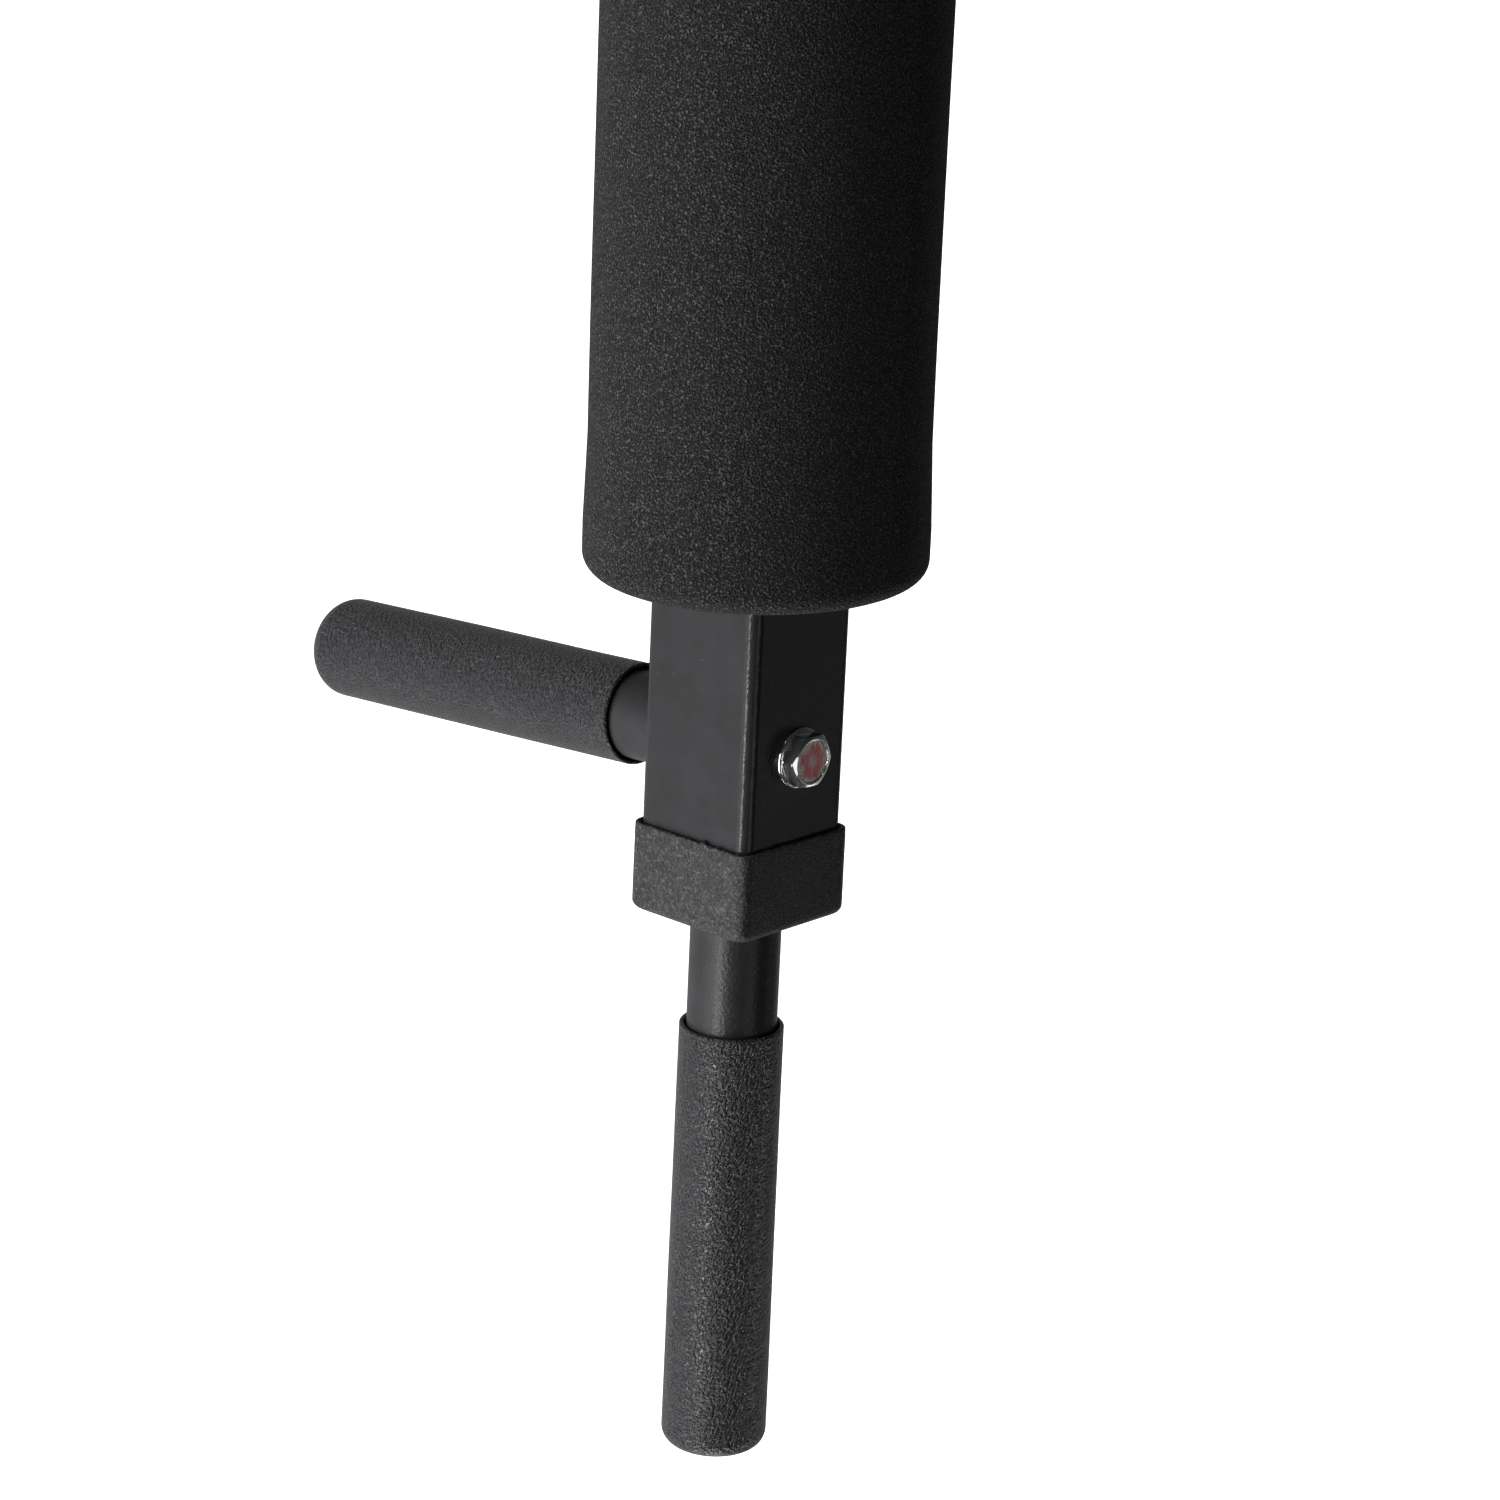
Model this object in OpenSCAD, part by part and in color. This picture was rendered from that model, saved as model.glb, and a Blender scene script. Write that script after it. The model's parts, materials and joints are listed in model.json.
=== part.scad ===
// Wall-hung pull-up bar: two square arms with foam sleeves, an in-line end handle
// and a side handle on each arm, a welded wall frame with a back pad, and four
// slotted wall brackets that the frame hangs in by steel pins.
// +X is right as seen from the front, -Y points out from the wall, +Z is up.

/* [Square tube] */
// Outside width of the square tube of the posts, crossbars and arms
tube_w = 40; // [38:0.5:50]
// Wall thickness of every tube
tube_wall = 2; // [1.5:0.25:3]
// Outside corner radius of the square tube
tube_corner = 3.5; // [2:0.2:6]

/* [Wall frame] */
// Distance between the centre lines of the two arms
arm_spacing = 480; // [440:10:560]
// Height of a post
post_h = 480; // [420:10:600]
// Gap from the wall to the back of the posts
post_gap = 20; // [14:1:30]
// Height of the upper crossbar and of the arms
arm_z = 90; // [40:5:120]
// Height of the lower crossbar
lower_bar_z = -110; // [-130:5:-80]

/* [Wall brackets] */
// Height of the bracket pins above and below the middle
bracket_z = 190; // [150:5:200]
// Width of a bracket's back plate
bracket_w = 110; // [100:2:130]
// Height of a bracket's back plate
bracket_h = 80; // [60:2:100]
// Thickness of the bracket plate and ears
bracket_t = 5; // [4:0.5:8]
// Distance of each wall hole from the middle of its bracket
wall_hole_x = 42; // [38:1:48]
// Diameter of a wall hole
wall_hole_d = 9; // [7:0.5:11]
// Height of a bracket's ears
ear_h = 50; // [44:1:60]
// Diameter of a hang pin
pin_d = 12; // [10:0.5:16]

/* [Arms] */
// Distance from the wall to the side handle's bolt
station_y = 500; // [450:10:560]
// Length of the square tube past the side handle's bolt
tube_tip = 44; // [40:1:60]
// Thickness of an arm's base plate
base_plate_t = 6; // [5:1:10]
// Height of an arm's base plate
base_plate_h = 110; // [100:2:130]
// Distance of each base plate bolt from the arm's centre line
arm_bolt_z = 38; // [34:1:44]
// Outside width of the brace tube
brace_w = 30; // [25:1:40]
// Distance from the post to the middle of the brace's upper end
brace_reach = 79; // [70:1:85]

/* [Foam sleeves] */
// Outside diameter of a foam sleeve
foam_d = 92.6; // [80:0.2:100]
// Length of a foam sleeve
foam_len = 280; // [200:5:290]
// Distance from the side handle's bolt to the foam sleeve
foam_start = 47.7; // [40:0.1:60]
// Radius of the foam sleeve's rounded ends
foam_round = 6; // [4:0.5:14]
// How far the sleeve swells beside its ends
foam_swell = 0.8; // [0:0.1:2]

/* [Handles] */
// Outside diameter of the handle tubes
handle_d = 25.4; // [22:0.1:32]
// Length of the end handle past the side handle's bolt
end_handle_len = 210; // [180:1:240]
// Distance from the side handle's bolt to the end grip
end_grip_start = 82.5; // [70:0.5:100]
// Outside diameter of the end grip at its mouth
end_grip_d = 29.3; // [28:0.1:36]
// Length of the side handle from the arm's face
side_handle_len = 142.2; // [120:0.2:160]
// Bare length of the side handle between the arm and its grip
side_grip_start = 19.4; // [12:0.2:30]
// Outside diameter of the side grip
side_grip_d = 28.8; // [28:0.1:36]
// Angle of the side handle towards the arm's tip
side_cant = 3.65; // [0:0.05:8]
// Distance of the side handle's foot from its bolt, towards the tip
side_offset = 0.7; // [0:0.1:2]

/* [Collars] */
// Outside width of the soft collar over the arm's end
collar_w = 43.4; // [42:0.1:50]
// Wall of the soft collar
collar_wall = 1.6; // [1:0.1:3]
// Distance from the side handle's bolt to the collar's upper edge
collar_start = 23.85; // [20:0.05:30]
// Distance from the side handle's bolt to the collar's lower face
collar_end = 49.3; // [46:0.1:60]

/* [Back pad] */
// Width of the back pad
pad_w = 300; // [220:10:320]
// Height of the back pad
pad_h = 400; // [300:10:440]
// Thickness of the cushion
cushion_t = 50; // [30:1:70]
// Thickness of the board behind the cushion
board_t = 12; // [9:1:18]
// Distance of each pad screw from the middle
pad_screw_x = 100; // [70:5:130]

/* [Fasteners] */
// Diameter of the side handle's flange bolt
m8_d = 8; // [6:1:10]
// Width across flats of the flange bolt's head
flange_bolt_af = 14; // [11:0.5:15]
// Diameter of the flange under that head
flange_d = 17.2; // [16:0.1:20]
// Height of the flange bolt's head with its flange
flange_bolt_h = 5.4; // [5:0.1:9]
// Width across flats of the pad screws' heads
m8_af = 13; // [10:1:16]
// Diameter of the base plate bolts
m10_d = 10; // [8:1:12]
// Width across flats of the base plate bolts' heads
m10_af = 16; // [13:1:18]

/* [Hidden] */
$fn = 64;
eps = 0.01;

arm_x = arm_spacing / 2;
half_w = tube_w / 2;
post_y = -(post_gap + half_w);
post_front = -(post_gap + tube_w);
arm_back = post_front - base_plate_t;
handle_r = handle_d / 2;
bore_r = handle_r - tube_wall;
slip = 0.1;
grip_slip = 0.05;
ear_in = half_w + 1;
ear_front = post_gap + tube_w - 2;
slot_r = pin_d / 2 + 0.3;
pin_len = 2 * (ear_in + bracket_t) + 6;
end_plate_t = 3;
bolt_seat = half_w;
plug_len = 30;
bolt_reach = 24;
past = 1;
bracket_corner = 8;
ear_corner = 6;
ear_foot = 8;
slot_flare = 3;
pin_bevel = 1;
cap_t = 4;
cap_edge = 1.2;
insert_len = 14;
insert_wall = 2.5;
base_plate_corner = 4;
washer_t = 2;
foam_flat = 8;
foam_taper = 24;
collar_corner = 3.6;
collar_edge = 2;
end_grip_taper = 0.33;
side_grip_taper = 0.02;
end_grip_fillet = 5;
side_grip_fillet = 7.5;
saddle = 20;
spacer_wall = 3;
flange_t = 1;
dish_depth = 0.5;
board_inset = 5;
board_corner = 25;
cushion_corner = 30;
cushion_edge = 14;
cushion_foot = 5;
screw_head_h = 5.3;
brace_z = arm_z - half_w - brace_reach;
m8_hole_r = m8_d / 2 + 0.3;
m10_hole_r = m10_d / 2 + 0.25;
handle_cap = 3;

// ---------- shared shapes ----------

// square with true round corners
module round_square(w, h, r) {
    square([w - 2 * r, h], center = true);
    square([w, h - 2 * r], center = true);
    for (sx = [-1, 1]) {
        for (sy = [-1, 1]) {
            translate([sx * (w / 2 - r), sy * (h / 2 - r)]) circle(r = r);
        }
    }
}

// square tube along +Z from 0 to len
module square_tube(w, len) {
    difference() {
        linear_extrude(len) round_square(w, w, tube_corner);
        translate([0, 0, -1])
            linear_extrude(len + 2)
                round_square(w - 2 * tube_wall, w - 2 * tube_wall, tube_corner - tube_wall);
    }
}

// turns +Z into -Y, the way an arm points
module along_arm() {
    rotate([90, 0, 0]) children();
}

// places a shape drawn about the side handle's bolt on the left arm
module at_station() {
    translate([-arm_x, -station_y, arm_z]) children();
}

// places a shape drawn along +Z from the arm's face on the side handle's axis
module on_side_handle() {
    at_station()
        translate([-half_w, -side_offset, 0])
            rotate([0, 0, side_cant])
                rotate([0, -90, 0])
                    children();
}

// everything on the arm's side of its outer face, to trim the canted handle
module arm_side(depth) {
    at_station()
        translate([-half_w, -40, -40]) cube([depth, 80, 80]);
}

// left piece as drawn, right piece mirrored
module sided(side) {
    if (side < 0) {
        children();
    } else {
        mirror([1, 0, 0]) children();
    }
}

// hexagon head along +Z with a corner chamfer at its top
module hex_head(af, h) {
    intersection() {
        rotate([0, 0, 30]) cylinder(d = af / cos(30), h = h, $fn = 6);
        union() {
            cylinder(d = af * 1.2, h = h - af * 0.06);
            translate([0, 0, h - af * 0.06])
                cylinder(d1 = af * 1.2, d2 = af * 0.95, h = af * 0.06);
        }
    }
}

// half profile of a closed grip: mouth at y = 0, closed end at y = len
module grip_profile(r_mouth, r_end, len, fillet) {
    polygon([[0, 0], [r_mouth, 0], [r_end, len - fillet], [0, len - fillet]]);
    translate([0, len - fillet - eps]) square([r_end - fillet, fillet + eps]);
    translate([r_end - fillet, len - fillet]) {
        intersection() {
            circle(r = fillet);
            translate([-eps, -eps]) square([fillet + 1, fillet + 1]);
        }
    }
}

// ---------- wall side ----------

module wall_bracket(x, z) {
    translate([x, 0, z]) {
        difference() {
            along_arm() linear_extrude(bracket_t) round_square(bracket_w, bracket_h, bracket_corner);
            for (s = [-1, 1]) {
                translate([s * wall_hole_x, past, 0])
                    along_arm() cylinder(d = wall_hole_d, h = bracket_t + 2 * past);
            }
        }
        for (s = [-1, 1]) {
            bracket_ear(s);
        }
    }
}

module bracket_ear(s) {
    ear_len = ear_front - bracket_t + eps;
    ear_mid = (ear_front + bracket_t - eps) / 2;
    slot_top = ear_h / 2;
    translate([s * (ear_in + bracket_t / 2) - bracket_t / 2, 0, 0]) {
        rotate([90, 0, 90]) {
            linear_extrude(bracket_t) {
                difference() {
                    union() {
                        translate([-ear_mid, 0]) round_square(ear_len, ear_h, ear_corner);
                        translate([-bracket_t - ear_foot, -ear_h / 2])
                            square([ear_foot + eps, ear_h]);
                    }
                    translate([post_y, 0]) circle(r = slot_r);
                    translate([post_y - slot_r, 0]) square([2 * slot_r, slot_top + past]);
                    translate([post_y, slot_top])
                        polygon([
                            [-slot_r - slot_flare, eps], [slot_r + slot_flare, eps],
                            [slot_r, -slot_flare], [-slot_r, -slot_flare]
                        ]);
                }
            }
        }
    }
}

module hang_pins() {
    for (sx = [-1, 1]) {
        for (sz = [-1, 1]) {
            translate([sx * arm_x - pin_len / 2, post_y, sz * bracket_z])
                rotate([0, 90, 0]) {
                    cylinder(d1 = pin_d - 2 * pin_bevel, d2 = pin_d, h = pin_bevel);
                    translate([0, 0, pin_bevel]) cylinder(d = pin_d, h = pin_len - 2 * pin_bevel);
                    translate([0, 0, pin_len - pin_bevel])
                        cylinder(d1 = pin_d, d2 = pin_d - 2 * pin_bevel, h = pin_bevel);
                }
        }
    }
}

// ---------- frame ----------

module post() {
    difference() {
        translate([-arm_x, post_y, -post_h / 2]) square_tube(tube_w, post_h);
        for (sz = [-1, 1]) {
            translate([-arm_x - tube_w, post_y, sz * bracket_z])
                rotate([0, 90, 0]) cylinder(d = pin_d, h = 2 * tube_w);
            translate([-arm_x, 0, arm_z + sz * arm_bolt_z])
                along_arm() cylinder(r = m10_hole_r, h = post_gap + 2 * tube_w);
        }
    }
}

// snap-in end plug of a post, cap upwards
module post_plug(up) {
    insert_w = tube_w - 2 * tube_wall - 0.2;
    translate([-arm_x, post_y, up * post_h / 2])
        rotate([up > 0 ? 0 : 180, 0, 0]) {
            linear_extrude(cap_t - cap_edge) round_square(tube_w, tube_w, tube_corner);
            translate([0, 0, cap_t - cap_edge])
                linear_extrude(cap_edge)
                    round_square(tube_w - 2 * cap_edge, tube_w - 2 * cap_edge, tube_corner - cap_edge);
            translate([0, 0, -insert_len]) {
                difference() {
                    linear_extrude(insert_len)
                        round_square(insert_w, insert_w, tube_corner - tube_wall - slip);
                    translate([0, 0, -past])
                        linear_extrude(insert_len)
                            round_square(insert_w - 2 * insert_wall, insert_w - 2 * insert_wall, 1);
                }
            }
        }
}

module crossbar(z) {
    difference() {
        translate([-arm_x + half_w, post_y, z])
            rotate([0, 90, 0]) square_tube(tube_w, arm_spacing - tube_w);
        for (s = [-1, 1]) {
            translate([s * pad_screw_x, 0, z])
                along_arm() cylinder(r = m8_hole_r, h = post_gap + tube_w + past);
        }
    }
}

module arm_base_plate() {
    difference() {
        translate([-arm_x, post_front, arm_z])
            along_arm() linear_extrude(base_plate_t) round_square(tube_w, base_plate_h, base_plate_corner);
        for (s = [-1, 1]) {
            translate([-arm_x, post_front + past, arm_z + s * arm_bolt_z])
                along_arm() cylinder(r = m10_hole_r, h = base_plate_t + 2 * past);
        }
    }
}

// hexagon bolts through the base plates and posts
module arm_bolts() {
    head_h = m10_d * 0.64;
    for (sx = [-1, 1]) {
        for (sz = [-1, 1]) {
            translate([sx * arm_x, arm_back, arm_z + sz * arm_bolt_z]) {
                along_arm() {
                    cylinder(d = m10_d * 2, h = washer_t);
                    translate([0, 0, washer_t - eps]) hex_head(m10_af, head_h);
                }
                rotate([-90, 0, 0])
                    cylinder(d = m10_d, h = base_plate_t + tube_w + m10_d);
            }
        }
    }
}

module arm_nuts() {
    nut_h = m10_d * 0.8;
    for (sx = [-1, 1]) {
        for (sz = [-1, 1]) {
            translate([sx * arm_x, -post_gap, arm_z + sz * arm_bolt_z])
                rotate([-90, 0, 0]) {
                    difference() {
                        hex_head(m10_af, nut_h);
                        translate([0, 0, -past])
                            cylinder(d = m10_d + 2 * grip_slip, h = nut_h + 2 * past);
                    }
                }
        }
    }
}

// mitred tube from the post up to the arm's underside
module arm_brace() {
    run = brace_reach * sqrt(2);
    intersection() {
        translate([-arm_x, post_front, brace_z])
            rotate([45, 0, 0])
                translate([0, 0, -brace_w])
                    square_tube(brace_w, run + 2 * brace_w);
        translate([-arm_x - brace_w, post_front - 3 * brace_reach, brace_z - brace_reach])
            cube([2 * brace_w, 3 * brace_reach, 2 * brace_reach]);
    }
}

// ---------- arm ----------

module arm_tube() {
    difference() {
        translate([-arm_x, arm_back, arm_z])
            along_arm() square_tube(tube_w, station_y + tube_tip + arm_back);
        at_station()
            translate([-tube_w, 0, 0]) rotate([0, 90, 0]) cylinder(r = m8_hole_r, h = 2 * tube_w);
    }
}

// half profile of the foam sleeve, drawn from its lower to its upper end
module foam_profile() {
    r = foam_d / 2;
    rs = r + foam_swell;
    near = foam_round;
    far = foam_len - foam_round;
    polygon([
        [0, near], [rs, near], [rs, near + foam_flat],
        [r, near + foam_flat + foam_taper], [r, far - foam_flat - foam_taper],
        [rs, far - foam_flat], [rs, far], [0, far]
    ]);
    square([rs - foam_round, foam_len]);
    for (y = [near, far]) {
        translate([rs - foam_round, y]) circle(r = foam_round);
    }
}

module foam_sleeve() {
    at_station()
        translate([0, foam_start, 0])
            rotate([-90, 0, 0])
                difference() {
                    rotate_extrude($fn = 96) foam_profile();
                    translate([0, 0, -past])
                        linear_extrude(foam_len + 2 * past)
                            round_square(tube_w + slip, tube_w + slip, tube_corner + slip / 2);
                }
}

module arm_end_plate() {
    at_station()
        translate([0, -tube_tip, 0])
            along_arm()
                difference() {
                    linear_extrude(end_plate_t) round_square(tube_w, tube_w, tube_corner);
                    translate([0, 0, -past]) cylinder(r = handle_r, h = end_plate_t + 2 * past);
                }
}

module collar() {
    inner_w = collar_w - 2 * collar_wall;
    floor_t = collar_end - tube_tip - end_plate_t - slip;
    len = collar_end - collar_start;
    edge = collar_edge;
    at_station()
        translate([0, -collar_start, 0])
            along_arm()
                difference() {
                    union() {
                        linear_extrude(len - edge) round_square(collar_w, collar_w, collar_corner);
                        hull() {
                            for (turn = [0, 45, 89]) {
                                inset = edge * (1 - cos(turn));
                                translate([0, 0, len - edge * (1 - sin(turn))])
                                    linear_extrude(eps)
                                        round_square(
                                            collar_w - 2 * inset, collar_w - 2 * inset,
                                            collar_corner - inset / 2, $fn = 32
                                        );
                            }
                        }
                    }
                    translate([0, 0, -past])
                        linear_extrude(len - floor_t + past)
                            round_square(inner_w, inner_w, tube_corner + slip);
                    cylinder(r = handle_r + slip, h = len + past);
                }
}

module end_handle_tube() {
    len = end_handle_len - handle_cap - tube_tip;
    at_station()
        translate([0, -tube_tip, 0])
            along_arm()
                difference() {
                    cylinder(r = handle_r, h = len);
                    translate([0, 0, -past]) cylinder(r = bore_r, h = len + 2 * past);
                }
}

module end_grip() {
    len = end_handle_len - end_grip_start;
    at_station()
        translate([0, -end_grip_start, 0])
            along_arm()
                difference() {
                    rotate_extrude()
                        grip_profile(end_grip_d / 2, end_grip_d / 2 + end_grip_taper, len, end_grip_fillet);
                    translate([0, 0, -past])
                        cylinder(r = handle_r + grip_slip, h = len - handle_cap + past + slip);
                }
}

module side_handle_tube() {
    len = side_handle_len - handle_cap;
    difference() {
        on_side_handle()
            translate([0, 0, -2])
                difference() {
                    cylinder(r = handle_r, h = len + 2);
                    translate([0, 0, -past]) cylinder(r = bore_r, h = len + 4);
                }
        arm_side(saddle);
    }
}

// threaded steel plug in the side handle's foot
module side_handle_plug() {
    difference() {
        on_side_handle()
            translate([0, 0, -2]) cylinder(r = bore_r - grip_slip, h = plug_len + 2);
        arm_side(saddle);
        at_station()
            translate([-half_w - bolt_reach - past, 0, 0])
                rotate([0, 90, 0]) cylinder(r = m8_d / 2 + grip_slip, h = bolt_reach + tube_w);
    }
}

// crush sleeve around the flange bolt inside the arm
module side_handle_spacer() {
    len = tube_w - 2 * tube_wall;
    at_station()
        translate([-len / 2, 0, 0])
            rotate([0, 90, 0])
                difference() {
                    cylinder(r = m8_d / 2 + spacer_wall, h = len);
                    translate([0, 0, -past]) cylinder(r = m8_hole_r, h = len + 2 * past);
                }
}

// hexagon flange bolt with a shallow dished face, head along +X
module flange_bolt() {
    head_r = flange_bolt_af / 2;
    at_station()
        translate([bolt_seat, 0, 0])
            rotate([0, 90, 0]) {
                cylinder(d = flange_d, h = flange_t);
                translate([0, 0, flange_t - eps]) cylinder(r1 = flange_d / 2, r2 = head_r, h = flange_t);
                difference() {
                    hex_head(flange_bolt_af, flange_bolt_h);
                    translate([0, 0, flange_bolt_h - dish_depth])
                        cylinder(r1 = head_r * 0.75, r2 = head_r * 0.84, h = dish_depth + eps);
                }
                translate([0, 0, -tube_w - bolt_reach])
                    cylinder(d = m8_d, h = tube_w + bolt_reach + eps);
            }
}

module side_handle_bolts() {
    for (side = [-1, 1]) {
        sided(side) flange_bolt();
    }
}

module side_grip() {
    len = side_handle_len - side_grip_start;
    on_side_handle()
        translate([0, 0, side_grip_start])
            difference() {
                rotate_extrude()
                    grip_profile(side_grip_d / 2, side_grip_d / 2 + side_grip_taper, len, side_grip_fillet);
                translate([0, 0, -past])
                    cylinder(r = handle_r + grip_slip, h = len - handle_cap + past + slip);
            }
}

// ---------- back pad ----------

module pad_board() {
    difference() {
        translate([0, post_front, 0])
            along_arm() linear_extrude(board_t)
                round_square(pad_w - 2 * board_inset, pad_h - 2 * board_inset, board_corner);
        for (x = [-pad_screw_x, pad_screw_x]) {
            for (z = [arm_z, lower_bar_z]) {
                translate([x, post_front + past, z])
                    along_arm() cylinder(r = m8_d / 2 + grip_slip, h = board_t - past);
            }
        }
    }
}

module pad_cushion() {
    corner = cushion_corner;
    edge = cushion_edge;
    translate([0, post_front - board_t, 0])
        along_arm()
            hull() {
                for (x = [-1, 1]) {
                    for (z = [-1, 1]) {
                        translate([x * (pad_w / 2 - corner), z * (pad_h / 2 - corner), 0]) {
                            cylinder(r = corner - 3, h = 1, $fn = 32);
                            translate([0, 0, cushion_foot])
                                cylinder(r = corner, h = cushion_t - cushion_foot - edge, $fn = 32);
                            translate([0, 0, cushion_t - edge / 3])
                                cylinder(r = corner - edge / 3, h = eps, $fn = 32);
                            translate([0, 0, cushion_t - eps])
                                cylinder(r = corner - edge, h = eps, $fn = 32);
                        }
                    }
                }
            }
}

module pad_screws() {
    for (x = [-pad_screw_x, pad_screw_x]) {
        for (z = [arm_z, lower_bar_z]) {
            translate([x, -post_gap, z]) {
                rotate([-90, 0, 0]) hex_head(m8_af, screw_head_h);
                along_arm() cylinder(d = m8_d, h = tube_w + board_t - 3);
            }
        }
    }
}

// ---------- nodes ----------

steel_black = [0.09, 0.09, 0.10];
zinc = [0.72, 0.74, 0.76];
soft_black = [0.07, 0.07, 0.08];
foam_black = [0.05, 0.05, 0.05];
ply = [0.62, 0.47, 0.30];

color(steel_black) wall_bracket(-arm_x, bracket_z);  // wall_bracket_upper_left
color(steel_black) wall_bracket(arm_x, bracket_z);  // wall_bracket_upper_right
color(steel_black) wall_bracket(-arm_x, -bracket_z);  // wall_bracket_lower_left
color(steel_black) wall_bracket(arm_x, -bracket_z);  // wall_bracket_lower_right
color(zinc) hang_pins();
color(steel_black) sided(-1) post();  // post_left
color(steel_black) sided(1) post();  // post_right
color(soft_black) sided(-1) post_plug(1);  // post_plug_top_left
color(soft_black) sided(1) post_plug(1);  // post_plug_top_right
color(soft_black) sided(-1) post_plug(-1);  // post_plug_bottom_left
color(soft_black) sided(1) post_plug(-1);  // post_plug_bottom_right
color(steel_black) crossbar(arm_z);  // crossbar_upper
color(steel_black) crossbar(lower_bar_z);  // crossbar_lower
color(steel_black) sided(-1) arm_base_plate();  // arm_base_plate_left
color(steel_black) sided(1) arm_base_plate();  // arm_base_plate_right
color(zinc) arm_bolts();
color(zinc) arm_nuts();
color(steel_black) sided(-1) arm_brace();  // arm_brace_left
color(steel_black) sided(1) arm_brace();  // arm_brace_right
color(steel_black) sided(-1) arm_tube();  // arm_tube_left
color(steel_black) sided(1) arm_tube();  // arm_tube_right
color(foam_black) sided(-1) foam_sleeve();  // foam_sleeve_left
color(foam_black) sided(1) foam_sleeve();  // foam_sleeve_right
color(steel_black) sided(-1) arm_end_plate();  // arm_end_plate_left
color(steel_black) sided(1) arm_end_plate();  // arm_end_plate_right
color(soft_black) sided(-1) collar();  // collar_left
color(soft_black) sided(1) collar();  // collar_right
color(steel_black) sided(-1) end_handle_tube();  // end_handle_tube_left
color(steel_black) sided(1) end_handle_tube();  // end_handle_tube_right
color(soft_black) sided(-1) end_grip();  // end_grip_left
color(soft_black) sided(1) end_grip();  // end_grip_right
color(steel_black) sided(-1) side_handle_tube();  // side_handle_tube_left
color(steel_black) sided(1) side_handle_tube();  // side_handle_tube_right
color(zinc) sided(-1) side_handle_plug();  // side_handle_plug_left
color(zinc) sided(1) side_handle_plug();  // side_handle_plug_right
color(zinc) sided(-1) side_handle_spacer();  // side_handle_spacer_left
color(zinc) sided(1) side_handle_spacer();  // side_handle_spacer_right
color(zinc) side_handle_bolts();
color(soft_black) sided(-1) side_grip();  // side_grip_left
color(soft_black) sided(1) side_grip();  // side_grip_right
color(ply) pad_board();
color(soft_black) pad_cushion();
color(zinc) pad_screws();
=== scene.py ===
"""Looks of the wall-hung pull-up bar: soft pieces, materials, light and camera round the CAD frame."""

import json
import math

import bmesh
import bpy
from mathutils import Matrix, Vector, noise


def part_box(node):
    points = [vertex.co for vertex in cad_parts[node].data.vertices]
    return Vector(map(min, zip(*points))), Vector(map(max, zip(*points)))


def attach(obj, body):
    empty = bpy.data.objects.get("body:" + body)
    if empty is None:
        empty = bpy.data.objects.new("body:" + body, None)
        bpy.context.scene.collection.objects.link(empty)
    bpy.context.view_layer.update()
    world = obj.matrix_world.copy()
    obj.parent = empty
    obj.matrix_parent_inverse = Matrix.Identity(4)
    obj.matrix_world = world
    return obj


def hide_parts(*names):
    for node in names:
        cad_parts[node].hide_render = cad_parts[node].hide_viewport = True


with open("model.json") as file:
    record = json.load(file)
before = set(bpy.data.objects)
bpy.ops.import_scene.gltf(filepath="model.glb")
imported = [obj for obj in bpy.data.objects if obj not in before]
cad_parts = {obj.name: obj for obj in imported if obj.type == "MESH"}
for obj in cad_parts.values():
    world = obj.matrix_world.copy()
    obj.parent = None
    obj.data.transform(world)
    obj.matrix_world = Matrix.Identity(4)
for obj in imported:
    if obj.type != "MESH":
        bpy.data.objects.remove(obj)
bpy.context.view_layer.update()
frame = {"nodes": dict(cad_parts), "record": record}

MM = 0.001
SIDES = {"left": -1, "right": 1}
BODY = "frame"

# ---------- places read from the CAD frame ----------

TUBE_LO, TUBE_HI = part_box("arm_tube_left")
BOLT_LO, BOLT_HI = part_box("side_handle_bolts")
ARM_X = -(TUBE_LO.x + TUBE_HI.x) / 2
ARM_Z = (TUBE_LO.z + TUBE_HI.z) / 2
STATION_Y = (BOLT_LO.y + BOLT_HI.y) / 2
HALF_TUBE = (TUBE_HI.x - TUBE_LO.x) / 2
STATION = Vector((-ARM_X, STATION_Y, ARM_Z))


def arm_frame(side):
    """Matrix from an arm's axes to the row frame: x towards the bolt, y along the arm to its tip, z up."""
    inwards = -SIDES[side]
    return Matrix((
        (inwards, 0, 0, -inwards * ARM_X),
        (0, -1, 0, STATION_Y),
        (0, 0, 1, ARM_Z),
        (0, 0, 0, 1),
    ))


# ---------- mesh helpers ----------

def add_mesh(name, verts, faces, smooth=True):
    mesh = bpy.data.meshes.new(name)
    mesh.from_pydata([tuple(v) for v in verts], [], faces)
    mesh.update()
    if smooth:
        mesh.polygons.foreach_set("use_smooth", [True] * len(mesh.polygons))
    obj = bpy.data.objects.new(name, mesh)
    bpy.context.scene.collection.objects.link(obj)
    return obj


def face_outwards(obj):
    bm = bmesh.new()
    bm.from_mesh(obj.data)
    bmesh.ops.recalc_face_normals(bm, faces=bm.faces)
    bm.to_mesh(obj.data)
    bm.free()


def finish_piece(obj, matrix, material, body=BODY, nodes=()):
    """Puts a piece in the row frame, with its material, body and the CAD nodes that it stands for."""
    obj.data.transform(matrix)
    face_outwards(obj)
    obj.data.materials.append(material)
    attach(obj, body)
    if nodes:
        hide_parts(*nodes)
    return obj


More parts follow.
